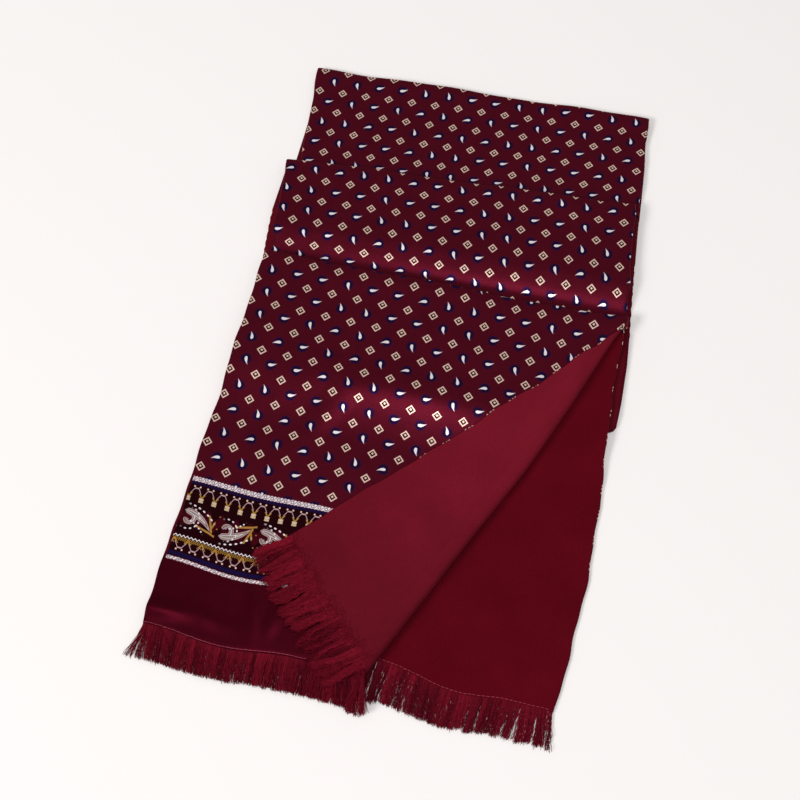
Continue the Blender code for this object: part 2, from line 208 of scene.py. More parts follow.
# Shells
EDGE = 1.5  # how far from a side edge a panel starts to round down to it
WRAP = math.radians(58.0)  # how far the face wraps round the edge on to the back
HEM_ROUND = 2.0
THINNEST_HEM = 0.3  # of the full thickness
CELL = 2.4
FOLD_STEPS = 12
EDGE_STEPS = 7
FRONT_COLUMNS = (110, 17, 49)  # left of the crease, round the roll and past it
ROLL_SHARE = 0.55  # the most of the cloth past the crease that the roll's columns take


def ease(value, start, end):
    """0 before start, 1 past end, and a smooth step between them."""
    t = np.clip((value - start) / (end - start), 0.0, 1.0)
    return t * t * (3 - 2 * t)


def rows_at(rows, values):
    """The outline's four columns at each value: a cubic through the rows, straight past them."""
    table = np.array(rows)
    keys, cells = table[:, 0], table[:, 1:]
    slopes = np.gradient(cells, keys, axis=0)
    values = np.asarray(values, float)[..., None]
    i = np.clip(np.searchsorted(keys, values[..., 0], side="right") - 1, 0, len(keys) - 2)
    span = (keys[i + 1] - keys[i])[..., None]
    t = np.clip((values - keys[i][..., None]) / span, 0.0, 1.0)
    inside = (
        (2 * t**3 - 3 * t**2 + 1) * cells[i]
        + (t**3 - 2 * t**2 + t) * span * slopes[i]
        + (3 * t**2 - 2 * t**3) * cells[i + 1]
        + (t**3 - t**2) * span * slopes[i + 1]
    )
    return inside + slopes[-1] * np.maximum(values - keys[-1], 0.0)


def in_plan(rows, u, v):
    row = rows_at(rows, v)
    share = u / WIDTH
    x = row[..., 0] + (row[..., 2] - row[..., 0]) * share
    y = row[..., 1] + (row[..., 3] - row[..., 1]) * share
    return x, y


def past_crease(rows, x, y):
    """How far a place lies in front of a leaf's crease."""
    left, right = np.array(rows[0][1:3]), np.array(rows[0][3:5])
    along = (right - left) / np.linalg.norm(right - left)
    return along[1] * (x - left[0]) - along[0] * (y - left[1])


def ridge_height(x, y, ridges):
    """The sum of the soft ridges at a place, each fading to its ends and sides."""
    total = np.zeros_like(x)
    for x0, y0, x1, y1, reach, height in ridges:
        along = np.array((x1 - x0, y1 - y0))
        t = ((x - x0) * along[0] + (y - y0) * along[1]) / (along @ along)
        aside = (along[0] * (y - y0) - along[1] * (x - x0)) / np.linalg.norm(along)
        inside = (t > 0) & (t < 1) & (abs(aside) < reach)
        shape = np.sin(math.pi * t) ** 2 * np.cos(math.pi * aside / (2 * reach)) ** 2
        total += np.where(inside, height * shape, 0.0)
    return total


def front_base(x, y):
    return FRONT_TOP - (FRONT_TOP - FRONT_HEIGHT) * ease(past_crease(FRONT_LEAF, x, y), *FRONT_STEP)


def middle_base(x, y):
    past = past_crease(MIDDLE_LEAF, x, y) - MIDDLE_STEP_LEAN * x / WIDTH
    return MIDDLE_TOP - (MIDDLE_TOP - REAR_HEIGHT) * ease(past, *MIDDLE_STEP)


def rear_base(x, y):
    crest = END_HEIGHT + 2 * REAR_FOLD
    return crest - (crest - REAR_HEIGHT) * ease(past_crease(REAR_LEAF, x, y), *REAR_EASE)


def folded_under(rows, base, radius, u, v):
    """A leaf's points: on its base in front of the crease, or round the fold and on beneath."""
    x, y = in_plan(rows, u, np.maximum(v, 0.0))
    height = base(x, y)
    turn = np.clip(-v / radius, 0.0, math.pi)
    run = np.maximum(-v - math.pi * radius, 0.0)
    _, left_x, left_y, right_x, right_y = rows[0]
    back = np.array((left_y - right_y, right_x - left_x))
    back /= np.linalg.norm(back)
    step = np.where(v < 0, radius * np.sin(turn) - run, 0.0)
    return np.stack((x + back[0] * step, y + back[1] * step, height - radius * (1 - np.cos(turn))), -1)


def rear_leaf(u, v):
    return folded_under(REAR_LEAF, rear_base, REAR_FOLD, u, v)


def middle_leaf(u, v):
    return folded_under(MIDDLE_LEAF, middle_base, MIDDLE_FOLD, u, v)


def end_leaf(u, v):
    x, y = in_plan(END_LEAF, u, v)
    return np.stack((x, y, front_base(x, y) - LEAF - REST_GAP), -1)


def crease_at(v, last=FRONT_LENGTH):
    """The u at which the turned corner's crease crosses the row at v, and no further left past the last."""
    along = np.clip(v, 0.0, last)
    tip = CORNER_TIP * np.exp(-along / CORNER_TIP_REACH)
    return WIDTH - np.maximum(CREASE_LEAN * along + CREASE_BEND * along**2 + tip, NARROWEST_CORNER)


def turned(distance, radius):
    """Where cloth at this distance past the crease goes: how far past it, and how high."""
    full_turn = math.pi + CORNER_DESCENT
    run, drop = math.cos(CORNER_DESCENT), math.sin(CORNER_DESCENT)
    fall = radius * (1 + run) - CORNER_LIFT - CORNER_EASE_RADIUS * (1 - run)
    slope = np.maximum(fall, 0.0) / drop
    turn = np.minimum(distance / radius, full_turn)
    across, height = radius * np.sin(turn), radius * (1 - np.cos(turn))
    left = np.maximum(distance - full_turn * radius, 0.0)
    part = np.minimum(left, slope)
    left = left - part
    eased = np.minimum(left / CORNER_EASE_RADIUS, CORNER_DESCENT)
    across = across - part * run - CORNER_EASE_RADIUS * (drop - np.sin(CORNER_DESCENT - eased))
    height = height - part * drop - CORNER_EASE_RADIUS * (np.cos(CORNER_DESCENT - eased) - run)
    return across - (left - CORNER_EASE_RADIUS * eased), height


def roll_radius(v):
    start, end = ROLL_RADIUS
    grown = start + (end - start) * ease(v, 0.0, ROLL_GROWTH)
    return grown / np.maximum(ease(v, 0.0, ROLL_EASE), 0.05)


def front_leaf(u, v, last=FRONT_LENGTH):
    """The front leaf's points, with the right corner turned over along its crease."""
    crease = crease_at(v, last)
    over = np.array((1.0, MIRROR_LEAN)) / math.hypot(1.0, MIRROR_LEAN)
    flap = (u > crease) & (v >= 0)
    share = np.where(flap, (u - crease) / (WIDTH - crease), 0.0) ** 2
    shift, lift = 0.0, 0.0
    for line, part in ((crease, 1 - share), (WIDTH - MIRROR_LEAN * np.maximum(v, 0.0), share)):
        distance = np.maximum((u - line) * over[0], 0.0)
        across, height = turned(distance, roll_radius(np.maximum(v, 0.0)))
        shift = shift + (across - distance) * part
        lift = lift + height * part
    shift, lift = np.where(flap, shift, 0.0), np.where(flap, lift, 0.0)
    points = folded_under(FRONT_LEAF, front_base, FRONT_FOLD, u + over[0] * shift, v + over[1] * shift)
    points[..., 2] += ridge_height(points[..., 0], points[..., 1], RIDGES) * (v > 0) + lift
    return points


def corner_leaf(u, v):
    """The front leaf for the turned corner's threads, whose crease goes on past the hem."""
    return front_leaf(u, v, math.inf)


def bump_across(value, middle, reach):
    """1 at the middle and a smooth fall to 0 at each end of its reach."""
    return np.where(abs(value - middle) < reach, np.cos(math.pi * (value - middle) / (2 * reach)) ** 2, 0.0)


def waves(place, kind, shift, short_shift=0.0):
    """A long wave with a short one on it."""
    long, short, share = kind
    return np.sin(place / long + shift) + share * np.sin(place / short + short_shift)


def worn(leaf, rows, length, drawn=(), bulges=(), flares=()):
    """The leaf with the small unevenness of real cloth: wavy edges and creases, and soft bulges."""
    seed = rows[0][2]
    cornered = leaf in (front_leaf, corner_leaf)
    last = FRONT_LENGTH if leaf is front_leaf else math.inf

    def form(u, v):
        u, v = np.broadcast_arrays(np.asarray(u, float), np.asarray(v, float))
        side = waves(v, LEFT_EDGE_WAVES, seed, 2 * seed) * np.exp(-np.maximum(u, 0) / EDGE_REACH)
        other = waves(v, RIGHT_EDGE_WAVES, -seed, seed) * np.exp(-np.maximum(WIDTH - u, 0) / EDGE_REACH)
        side = EDGE_WAVE * (side + other)
        for edge, far, start, end, reach in flares:
            side = side + far * ease(v, start, end) * np.exp(-abs(u - edge) / reach)
        slide = sum((bump_across(u, *place[:2]) * place[2] for place in drawn), np.zeros_like(u))
        points = leaf(u + side, v + slide * ease(v, DRAWN_FROM * length, length))
        x, y = points[..., 0], points[..., 1]
        past = past_crease(rows, x, y)
        near = np.exp(-((past / CREASE_REACH) ** 2))
        points[..., 2] += CREASE_LIFT * (CREASE_LEVEL + waves(x, CREASE_LIFT_WAVES, seed)) * near
        points[..., 1] += CREASE_WAVE * waves(x, CREASE_WAVES, 2 * seed) * near
        if leaf is not end_leaf:
            round_fold = (1 + np.cos(np.clip(-v / MIDDLE_FOLD, 0.0, math.pi))) / 2
            points[..., 2] -= CREASE_DROP * np.exp(-((past / CREASE_ROUND) ** 2)) * round_fold
        for at, lean, width, height, middle, reach in bulges:
            from_bulge = (past - at - lean * x / WIDTH) / width
            points[..., 2] += height * np.exp(-(from_bulge**2)) * bump_across(x, middle, reach)
        ridges = ridge_height(x, y, LOOSE_RIDGES) * (v > 0)
        # the end leaf lies on the floor, so it has no trough
        points[..., 2] += np.maximum(ridges, 0.0) if leaf is end_leaf else ridges
        if cornered:
            puff = np.exp(-((x - PUFF_PLACE[0]) ** 2 + (y - PUFF_PLACE[1]) ** 2) / PUFF_REACH**2)
            points += puff[..., None] * np.array(PUFF_MOVE)
            crease = crease_at(v, last)
            at, width, height = ROLL_SWELLING
            swelling = height * np.exp(-(((u - crease - at) / width) ** 2))
            points[..., 2] += swelling * ease(v, *SWELLING_ROWS) * (u > crease)
        return points

    return form


def print_side(leaf, u, v):
    """The unit normals on the side that faces up where the leaf lies flat."""
    step = 0.05
    across = leaf(u + step, v) - leaf(u - step, v)
    along = leaf(u, v + step) - leaf(u, v - step)
    normal = np.cross(along, across)
    return normal / np.linalg.norm(normal, axis=-1, keepdims=True)


WORN_REAR = worn(rear_leaf, REAR_LEAF, REAR_LENGTH, (), REAR_BULGES)
WORN_MIDDLE = worn(middle_leaf, MIDDLE_LEAF, MIDDLE_LENGTH, (), MIDDLE_BULGES)
WORN_FRONT = worn(front_leaf, FRONT_LEAF, FRONT_LENGTH, FRONT_DRAWN, FRONT_BULGES, FRONT_FLARES)
WORN_CORNER = worn(corner_leaf, FRONT_LEAF, FRONT_LENGTH, FRONT_DRAWN, FRONT_BULGES, FRONT_FLARES)
WORN_END = worn(end_leaf, END_LEAF, END_LENGTH, END_DRAWN, (), END_FLARES)


class Field:
    """A number over a surface: a shader node's output, with arithmetic."""

    def __init__(self, tree, socket):
        self.tree = tree
        self.socket = socket

    def math(self, operation, *others, clamp=False):
        made = self.tree.nodes.new("ShaderNodeMath")
        made.operation = operation
        made.use_clamp = clamp
        for socket, value in zip(made.inputs, (self, *others)):
            if isinstance(value, Field):
                self.tree.links.new(value.socket, socket)
            else:
                socket.default_value = value
        return Field(self.tree, made.outputs[0])

    def __add__(self, other):
        return self.math("ADD", other)

    def __sub__(self, other):
        return self.math("SUBTRACT", other)

    def __mul__(self, other):
        return self.math("MULTIPLY", other)

    def __truediv__(self, other):
        return self.math("DIVIDE", other)

    def abs(self):
        return self.math("ABSOLUTE")

    def floor(self):
        return self.math("FLOOR")

    def modulo(self, length):
        return self.math("FLOORED_MODULO", length)

    def wrap(self, length):
        """This number less its nearest multiple of length."""
        return (self + length / 2).modulo(length) - length / 2

    def least(self, other):
        return self.math("MINIMUM", other)

    def most(self, other):
        return self.math("MAXIMUM", other)

    def unit(self):
        """This number kept between 0 and 1."""
        return self.most(0.0).least(1.0)

    def within(self, limit=0.0, soft=0.14):
        """1 where this number is under the limit, with a soft border."""
        return self.math("MULTIPLY_ADD", -1 / soft, limit / soft + 0.5, clamp=True)

    def band(self, half, soft=0.14):
        """1 where this number is nearer to 0 than half, with a soft border."""
        return self.abs().within(half, soft)


def length_of(x, y):
    return (x * x + y * y).math("SQRT")


def turned_by(x, y, angle):
    """The two numbers turned about the origin."""
    tree = x.tree
    join = tree.nodes.new("ShaderNodeCombineXYZ")
    turn = tree.nodes.new("ShaderNodeVectorRotate")
    split = tree.nodes.new("ShaderNodeSeparateXYZ")
    turn.rotation_type = "Z_AXIS"
    tree.links.new(x.socket, join.inputs["X"])
    tree.links.new(y.socket, join.inputs["Y"])
    tree.links.new(join.outputs[0], turn.inputs["Vector"])
    if isinstance(angle, Field):
        tree.links.new(angle.socket, turn.inputs["Angle"])
    else:
        turn.inputs["Angle"].default_value = angle
    tree.links.new(turn.outputs[0], split.inputs[0])
    return Field(tree, split.outputs["X"]), Field(tree, split.outputs["Y"])


def plain_colour(tree, colour):
    made = tree.nodes.new("ShaderNodeRGB")
    made.outputs[0].default_value = (*colour, 1.0)
    return made.outputs[0]


class Paint:
    """A colour over a surface, painted in layers where it is shown."""

    def __init__(self, tree, ground):
        self.tree = tree
        self.socket = plain_colour(tree, ground)
        self.shown = 1.0

    def add(self, colour, mask):
        made = self.tree.nodes.new("ShaderNodeMix")
        made.data_type = "RGBA"
        self.tree.links.new((mask * self.shown).socket, made.inputs["Factor"])
        self.tree.links.new(self.socket, made.inputs["A"])
        made.inputs["B"].default_value = (*colour, 1.0)
        self.socket = made.outputs["Result"]


# Print colours
GROUND = (0.076, 0.0040, 0.0112)
NAVY = (0.008, 0.005, 0.040)
WHITE = (0.92, 0.83, 0.87)
PINK = (0.56, 0.36, 0.38)
ROSE = (0.30, 0.14, 0.17)
SILVER = (0.36, 0.28, 0.25)
CREAM = (0.82, 0.58, 0.48)
STRAW = (0.66, 0.50, 0.33)
GOLD = (0.42, 0.22, 0.045)
DARK = (0.012, 0.0015, 0.0025)
WINE = (0.050, 0.0025, 0.006)
HEM_GROUND = (0.044, 0.0014, 0.0052)

# The way each drop's tail points, over a repeat of four rows of eight
DROPS = ("LDRDRDLU", "DLUULRUL", "URRDRRLU", "DRRUURRD")
TURNS = {"D": 0, "R": 1, "U": 2, "L": 3}
DROP_SHIFT = 3.0  # columns that each four rows are shifted by
DROP_LENGTH = 7.0
DROP_WIDTH = 3.5
DROP_HEAD = 2.8  # from the repeat's middle back to the head's end
SQUARE = 2.42  # half of the small squares


def drop_angle(column, row):
    """The angle of the drop in each cell, from the chart."""
    tree = column.tree
    along, down = len(DROPS[0]), len(DROPS)
    shifted = (column + (row / down).floor() * DROP_SHIFT).modulo(along)
    place = (row.modulo(down) * along + shifted + 0.5) / (along * down)
    ramp = tree.nodes.new("ShaderNodeValToRGB")
    ramp.color_ramp.interpolation = "CONSTANT"
    stops = ramp.color_ramp.elements
    turns = [TURNS[way] / 4 for line in DROPS for way in line]
    for i, turn in enumerate(turns):
        stop = stops[0] if i == 0 else stops[1] if i == 1 else stops.new(i / len(turns))
        stop.position = i / len(turns)
        stop.color = (turn, turn, turn, 1.0)
    tree.links.new(place.socket, ramp.inputs[0])
    return Field(tree, ramp.outputs[0]) * (2 * math.pi)


def paint_small_print(paint, i, j):
    """Nested squares on the repeat's corners, and drops on dark patches at its middles."""
    paint.shown = j.within(BORDER_START, 0.01)
    x, y = i.wrap(1.0) * REPEAT, j.wrap(1.0) * REPEAT
    a, b = turned_by(x, y, math.radians(45))
    square = a.abs().most(b.abs())
    paint.add(DARK, square.within(3.2, 0.8) * 0.75)
    paint.add(CREAM, (square - SQUARE).band(0.5))
    paint.add(CREAM, (a - 0.2).abs().most((b + 0.2).abs()).within(0.8))
    column, row = i.floor(), j.floor()
    x, y = ((i - column) - 0.5) * REPEAT, ((j - row) - 0.5) * REPEAT
    x, y = turned_by(x, y, drop_angle(column, row))
    from_head = y + DROP_HEAD
    y = y + 1.3
    ripple = (x * 1.9).math("SINE") * (y * 1.7 + 0.7).math("SINE") * 0.5
    patch = length_of(x, y - 0.5) + ripple
    paint.add(NAVY, patch.within(4.3, 1.3))
    paint.add(DARK, patch.within(2.7, 1.2) * 0.7)
    bend = x - y.most(0.0) * y * 0.075
    share = (from_head / DROP_LENGTH).unit()
    half = share.math("POWER", 0.5) * (share * -1.0 + 1.0).math("POWER", 1.25) * DROP_WIDTH
    inside = (from_head - DROP_LENGTH / 2).band(DROP_LENGTH / 2)
    paint.add(WHITE, (bend.abs() - half).within(0.0, 0.35) * inside)


def stroke(x, y, start, end, half):
    """How far a place lies outside a straight stroke of this half width."""
    run = (end[0] - start[0], end[1] - start[1])
    square = run[0] ** 2 + run[1] ** 2
    from_x, from_y = x - start[0], y - start[1]
    share = (from_x * (run[0] / square) + from_y * (run[1] / square)).unit()
    return length_of(from_x - share * run[0], from_y - share * run[1]) - half


# A twisted braid and a thin one: half width, the twist's half width and lean, its strands' half width,
# ripple, eyelets a repeat, their radius, and their dark ring's radius and half width
BRAID = (2.0, 1.7, 0.8, 0.95, 0.22, 4, 1.75, 1.1, 0.36)
THIN_BRAID = (1.4, 1.1, 1.0, 0.85, 0.2, 3, 1.45, 0.85, 0.34)
TWIST = 2.7


def paint_braid(paint, x, y, at, kind):
    """A pale twisted braid with a row of eyelets."""
    half, inner, lean, strand, ripple, eyelets, radius, ring, ring_half = kind
    line = (y - at).abs() + (x * 2.33).math("SINE") * ripple
    paint.add(ROSE, line.within(half))
    paint.add(WHITE, line.within(inner) * (x + y * lean).wrap(TWIST).band(strand, 0.5))
    eyelet = length_of(x.wrap(REPEAT / eyelets), y - at)
    paint.add(WHITE, eyelet.within(radius, 0.3))
    paint.add(NAVY, (eyelet - ring).band(ring_half, 0.3) * 0.8)


def paint_festoon(paint, x, y, top, way):
    """Arcs with a pair of dots over each, and brackets between them. way is -1 where it hangs down."""
    across = x.wrap(REPEAT / 2).abs()
    down = (y - top) * way
    from_arc = across * -1.0 + REPEAT / 4
    arc = (from_arc - 1.6).most(0.0) * 1.7
    paint.add(PINK, ((down - 2.3 - arc).abs() * 0.6).within(0.3) * from_arc.within(4.4))
    paint.add(CREAM, length_of(from_arc - 2.3, down - 0.9).within(0.72))
    bracket = (across * 1.5 - (down * -1.0 + 9.6)).abs() * 0.55
    paint.add(GOLD, bracket.within(0.5) * (down - 8.0).band(1.7))


def paint_pendants(paint, x, y, top):
    """Small straw boxes, with a gold line across each."""
    across = x.wrap(REPEAT / 2).abs()
    box = across.most((y - (top + 2.0)).abs())
    paint.add(STRAW, box.within(1.85))
    paint.add(WHITE, box.within(0.7, 0.4) * 0.6)
    paint.add(GOLD, (y - top - 2.2).band(0.3) * box.within(1.85) * 0.8)


def paint_zigzag(paint, x, y, top):
    """A pale zigzag with gold ones under it, which come to a point at each half repeat."""
    tooth = REPEAT / 7
    wave = x.wrap(tooth).abs()
    tall = wave * 1.7
    crossed = tall * -1.0 + tooth * 0.85
    point = x.wrap(REPEAT / 2).abs()
    for line, reach in ((tall, REPEAT), (crossed, REPEAT), (crossed + 2.5, 3.4)):
        paint.add(GOLD, (y - top - 1.9 - line).band(0.34) * point.within(reach))
    paint.add(WHITE, (y - top - wave).band(0.42))


# A paisley about its curl: the arc that its body follows, and the strokes and dots round it
PAISLEY_PITCH = 30.7
PAISLEY_SIZE = 1.08
PAISLEY_ARC = (-5.9, 25.4)
PAISLEY_RADIUS = 30.8
PAISLEY_ENDS = (0.12, 0.86)  # radians from straight up
PAISLEY_SPRIGS = (
    # from            to              half width
    ((6.5, 4.2), (17.0, 6.6), 0.5),
    ((17.0, 6.6), (27.5, 10.0), 0.42),
    ((14.6, -5.2), (18.6, 5.6), 0.5),
    ((19.4, -1.8), (18.2, 2.2), 0.4),
    ((24.0, 5.4), (21.6, 7.6), 0.4),
)
PAISLEY_LINES = (
    # colour, depth inside, half width, strength
    (PINK, 0.4, 0.26, 0.9),
    (DARK, 0.95, 0.16, 0.8),
    (WHITE, 1.55, 0.22, 0.7),
)
PAISLEY_DOTS = 3.4  # mm apart


def paint_paisleys(paint, x, y, middle):
    """Curled leaves by turns up and down, with rings inside, dots round them and sprigs between."""
    cell = (x / PAISLEY_PITCH).floor()
    flip = cell.modulo(2.0) * -2.0 + 1.0
    across = (x - cell * PAISLEY_PITCH - 7.5) / PAISLEY_SIZE
    down = ((y - middle) * flip + 0.35) / PAISLEY_SIZE
    # the body
    along = (across - PAISLEY_ARC[0]).math("ARCTAN2", (down - PAISLEY_ARC[1]) * -1.0)
    place = (along - PAISLEY_ENDS[0]) / (PAISLEY_ENDS[1] - PAISLEY_ENDS[0])
    inner = place.unit()
    half = (inner + 0.12).math("POWER", 0.4) * (inner * -1.0 + 1.0).math("POWER", 0.85) * 4.7
    aside = length_of(across - PAISLEY_ARC[0], down - PAISLEY_ARC[1]) - PAISLEY_RADIUS
    body = aside.abs() - half + (place - inner).abs() * 22.0
    # the curl, which narrows from the top round to its end
    full_turn = 2 * math.pi
    round_by = across.math("ARCTAN2", down).modulo(full_turn) * -1.0 + math.pi
    share = round_by.modulo(full_turn) / (1.45 * math.pi)
    from_curl = length_of(across, down)
    curl = (from_curl - (share * -2.6 + 5.0)).abs() - (share * -1.0 + 2.1)
    curl = curl + (share - 1.0).most(0.0) * 30.0
    depth = body.least(curl)
    filled = depth.within(0.0)
    paint.add(SILVER, filled)
    for colour, at, line_half, strength in PAISLEY_LINES:
        paint.add(colour, (depth + at).band(line_half) * strength * filled)
    seeds = length_of(aside.wrap(1.5), (along * PAISLEY_RADIUS).wrap(1.5))
    paint.add(DARK, seeds.within(0.35, 0.3) * (depth + 1.9).within(0.0) * 0.7 * filled)
    for sprig in PAISLEY_SPRIGS:
        paint.add(GOLD, stroke(across, down, *sprig).within(0.2))
    tendril = length_of(across + 6.2, down - 3.2)
    paint.add(GOLD, (tendril - 4.6).band(0.4) * (across + 6.0).within(0.0))
    dots = (
        # from the row, along it, radius, place on the paisley, reach
        (aside - 5.4, along * PAISLEY_RADIUS, 0.6, place - 0.42, 0.42),
        (aside + 5.8, along * PAISLEY_RADIUS, 0.55, place - 0.55, 0.4),
        (from_curl - 8.0, round_by * 7.6, 0.55, share - 0.4, 0.34),
    )
    for off, run, radius, part, reach in dots:
        dot = length_of(off, run.wrap(PAISLEY_DOTS) * 0.7)
        paint.add(WHITE, dot.within(radius) * part.band(reach))


BORDER_START = 7.42  # repeats along the front leaf's print
BORDER_END = 10.57
BORDER_SHIFT = 2.1  # mm across
PAISLEY_SHIFT = 12.6
SELVEDGE = 2.4  # plain edge beside the border


def paint_border(paint, i, j, u):
    """The rows of the border, from its first braid to the thin one."""
    x, y = i * REPEAT + BORDER_SHIFT, (j - BORDER_START) * REPEAT
    depth = (BORDER_END - BORDER_START) * REPEAT
    paint.shown = 1.0
    paint.add(HEM_GROUND, (y * -1.0 + depth).within(0.0, 1.0))
    paint.shown = (u - WIDTH / 2).band(WIDTH / 2 - SELVEDGE)
    paint.add(DARK, (y - depth / 2).band(depth / 2))
    scroll = ((x * 0.55).math("SINE") * 3.0 + (y - 33.0)).abs()
    paint.add(WINE, scroll.within(5.0, 2.0) * (y - 33.0).band(9.5, 1.0))
    for top, height in ((4.2, 2.2), (62.4, 3.2)):
        paint.add(NAVY, (y - top - height / 2).band(height / 2, 0.5))
    # each row by its place down the border, in millimetres
    paint_braid(paint, x, y, 1.9, BRAID)
    paint_festoon(paint, x, y, 7.2, 1.0)
    paint_pendants(paint, x, y, 16.5)
    paint_paisleys(paint, x - PAISLEY_SHIFT, y, 34.6)
    paint_zigzag(paint, x, y, 48.8)
    paint_festoon(paint, x, y, 61.4, -1.0)
    paint_braid(paint, x, y, depth, THIN_BRAID)


def texture(tree, kind, scale, **values):
    """A texture by the object's own coordinates, in metres."""
    place = tree.nodes.new("ShaderNodeTexCoord")
    made = tree.nodes.new(kind)
    tree.links.new(place.outputs["Object"], made.inputs["Vector"])
    made.inputs["Scale"].default_value = scale
    for name, value in values.items():
        made.inputs[name].default_value = value
    return made


def bump(tree, height, distance, strength):
    made = tree.nodes.new("ShaderNodeBump")
    made.inputs["Distance"].default_value = distance
    made.inputs["Strength"].default_value = strength
    tree.links.new(height, made.inputs["Height"])
    return made.outputs["Normal"]


def map_fields(tree, name):
    """The two numbers of a mesh's map."""
    place = tree.nodes.new("ShaderNodeUVMap")
    place.uv_map = name
    split = tree.nodes.new("ShaderNodeSeparateXYZ")
    tree.links.new(place.outputs[0], split.inputs[0])
    return Field(tree, split.outputs["X"]), Field(tree, split.outputs["Y"])


def new_material(name, **finish):
    """A material, with the shader's own constants by their names."""
    made = bpy.data.materials.new(name)
    made.use_nodes = True
    shader = made.node_tree.nodes["Principled BSDF"]
    for socket, value in finish.items():
        shader.inputs[socket.replace("_", " ")].default_value = value
    return made, made.node_tree, shader


def scaled(tree, colour, factor):
    made = tree.nodes.new("ShaderNodeVectorMath")
    made.operation = "SCALE"
    tree.links.new(colour, made.inputs[0])
    tree.links.new(factor.socket, made.inputs["Scale"])
    return made.outputs[0]


def shaded(tree, colour, low, high, scale):
    """The colour lighter and darker by a soft noise."""
    noise = texture(tree, "ShaderNodeTexNoise", scale, Detail=3.0)
    spread = high - low
    return scaled(
        tree, colour, Field(tree, noise.outputs[0]).math("MULTIPLY_ADD", spread * 1.6, low - spread * 0.3)
    )


def make_satin():
    """Printed silk satin. The map "print" holds repeats, and "cloth" the flat place in millimetres."""
    made, tree, shader = new_material(
        "printed_satin",
        Metallic=0.45,
        Roughness=0.31,
        Specular_IOR_Level=0.12,
        Specular_Tint=(1.0, 0.12, 0.3, 1.0),
    )
    i, j = map_fields(tree, "print")
    u, _ = map_fields(tree, "cloth")
    paint = Paint(tree, GROUND)
    paint_small_print(paint, i, j)
    paint_border(paint, i, j, u)
    broad = shaded(tree, paint.socket, 0.88, 1.1, 60.0)
    tree.links.new(shaded(tree, broad, 0.82, 1.16, 800.0), shader.inputs["Base Color"])
    grain = texture(tree, "ShaderNodeTexNoise", 900.0, Detail=4.0, Roughness=0.6)
    tree.links.new(bump(tree, grain.outputs[0], 0.00012, 0.35), shader.inputs["Normal"])
    return made


# Rows over which painted shade darkens a brushed cloth towards its hem
HEM_SHADE_ROWS = (190.0, 330.0)  # mm along the leaf


def make_brushed(name, colour, hem_shade_share=0.0):
    """Plain brushed cloth: a short soft nap, mottled, and darker by this share towards its hem, which is
    painted shade.
    """
    made, tree, shader = new_material(
        name,
        Roughness=0.95,
        Specular_IOR_Level=0.03,
        Sheen_Weight=0.08,
        Sheen_Roughness=0.35,
        Sheen_Tint=(0.9, 0.10, 0.2, 1.0),
    )
    _, v = map_fields(tree, "cloth")
    start, end = HEM_SHADE_ROWS
    to_hem = ((v - start) / (end - start)).unit()
    # painted shade: the colour darker towards the hem
    painted_to_hem = scaled(tree, plain_colour(tree, colour), to_hem * -hem_shade_share + 1.0)
    broad = shaded(tree, painted_to_hem, 0.84, 1.14, 26.0)
    tree.links.new(shaded(tree, broad, 0.80, 1.20, 1100.0), shader.inputs["Base Color"])
    nap = texture(tree, "ShaderNodeTexNoise", 1500.0, Detail=5.0, Roughness=0.7)
    tree.links.new(bump(tree, nap.outputs[0], 0.0003, 0.5), shader.inputs["Normal"])
    return made


def make_thread(name, dark, light):
    """Silk thread. Each strand has its own place between the dark and the light colour."""
    made, tree, shader = new_material(
        name, Roughness=0.6, Specular_IOR_Level=0.15, Specular_Tint=(1.0, 0.25, 0.4, 1.0)
    )
    tone, _ = map_fields(tree, "strand")
    mix = tree.nodes.new("ShaderNodeMix")
    mix.data_type = "RGBA"
    mix.inputs["A"].default_value = (*dark, 1.0)
    mix.inputs["B"].default_value = (*light, 1.0)
    tree.links.new(tone.socket, mix.inputs["Factor"])
    tree.links.new(shaded(tree, mix.outputs["Result"], 0.85, 1.15, 400.0), shader.inputs["Base Color"])
    return made


def add_mesh(name, points, faces, material, maps):
    """An object in the part's frame, from points in the scarf's. Each map has two numbers for each point."""
    mesh = bpy.data.meshes.new(name)
    mesh.vertices.add(len(points))
    mesh.vertices.foreach_set("co", ((points + PLACE) * MM).astype(np.float32).ravel())
    mesh.loops.add(faces.size)
    mesh.loops.foreach_set("vertex_index", faces.astype(np.int32).ravel())
    mesh.polygons.add(len(faces))
    mesh.polygons.foreach_set("loop_start", np.arange(0, faces.size, faces.shape[1], dtype=np.int32))
    mesh.update(calc_edges=True)
    for map_name, values in maps.items():
        layer = mesh.uv_layers.new(name=map_name)
        layer.data.foreach_set("uv", values[faces.ravel()].astype(np.float32).ravel())
    mesh.materials.append(material)
    mesh.shade_smooth()
    made = bpy.data.objects.new(name, mesh)
    bpy.context.scene.collection.objects.link(made)
    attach(made, "root")
    return made


def edge_profile(face):
    """The rounding at a side edge, from the edge inwards: how far in, how far out, and the flat place."""
    angles = np.linspace(-WRAP if face else WRAP, math.pi / 2, EDGE_STEPS)
    inward = EDGE * (1 - np.cos(angles))
    outward = OUTER_SIDE * np.sin(angles) * (1 if face else -1)
    flat = EDGE - (math.pi / 2 - angles) * (EDGE + OUTER_SIDE) / 2
    return inward, outward, flat


def panel_columns(face, inner):
    """Each column's place across, its distance from the leaf's middle, and its flat place."""
    inward, outward, flat = edge_profile(face)
    level = np.full(inner.shape, OUTER_SIDE if face else -OUTER_SIDE)

    def with_edges(left, middle, right):
        rows = len(inner)
        left, right = (np.broadcast_to(values, (rows, len(values))) for values in (left, right))
        return np.hstack((left, middle, right))

    u = with_edges(inward[:-1], inner, WIDTH - inward[-2::-1])
    out = with_edges(outward[:-1], level, outward[-2::-1])
    s = with_edges(flat[:-1], inner, WIDTH - flat[-2::-1])
    return u, out, s


